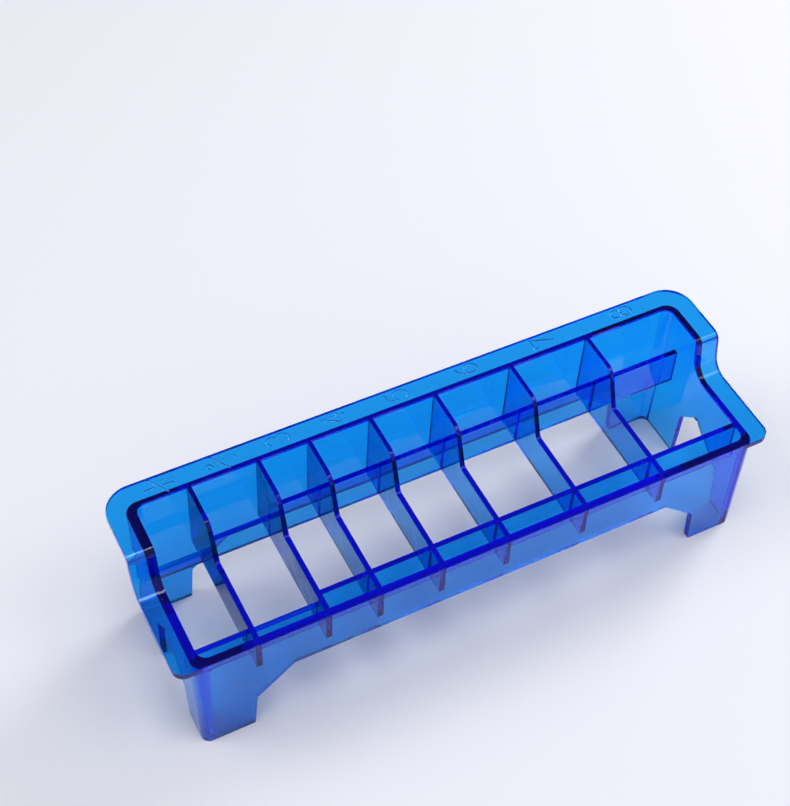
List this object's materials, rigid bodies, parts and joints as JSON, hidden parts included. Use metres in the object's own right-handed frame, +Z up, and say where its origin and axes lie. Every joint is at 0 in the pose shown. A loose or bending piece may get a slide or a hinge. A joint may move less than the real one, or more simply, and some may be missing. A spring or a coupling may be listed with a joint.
{
  "type": "clipper guard comb rack",
  "caption": "Clear blue plastic storage rack for hair clipper guard combs: a stepped rim on corner legs, with dividers and cross rails that make compartments growing wider along its length.",
  "frame": {"origin": "on the surface that the rack stands on, under the centre of its bounding box", "axes": "+X along the rack's length, towards the widest compartment; +Y towards the high back; +Z up"},
  "size_m": [0.22, 0.064, 0.062],
  "materials": {
    "rim": "clear blue, polished",
    "wall": "clear blue, polished",
    "plate": "clear blue, polished"
  },
  "bodies": {
    "root": {"rim_front": "rim", "rim_back": "rim", "rim_left": "rim", "rim_right": "rim", "front_wall": "wall", "back_wall": "wall", "left_end_wall": "wall", "right_end_wall": "wall", "leg_front_left": "wall", "leg_front_right": "wall", "leg_back_left": "wall", "leg_back_right": "wall", "divider_1": "plate", "divider_2": "plate", "divider_3": "plate", "divider_4": "plate", "divider_5": "plate", "divider_6": "plate", "divider_7": "plate", "front_rail_1": "plate", "front_rail_2": "plate", "front_rail_3": "plate", "front_rail_4": "plate", "front_rail_5": "plate", "front_rail_6": "plate", "front_rail_7": "plate", "front_rail_8": "plate", "rear_rail_1": "plate", "rear_rail_2": "plate", "rear_rail_3": "plate", "rear_rail_4": "plate", "rear_rail_5": "plate", "rear_rail_6": "plate", "rear_rail_7": "plate", "rear_rail_8": "plate"}
  },
  "joints": []
}
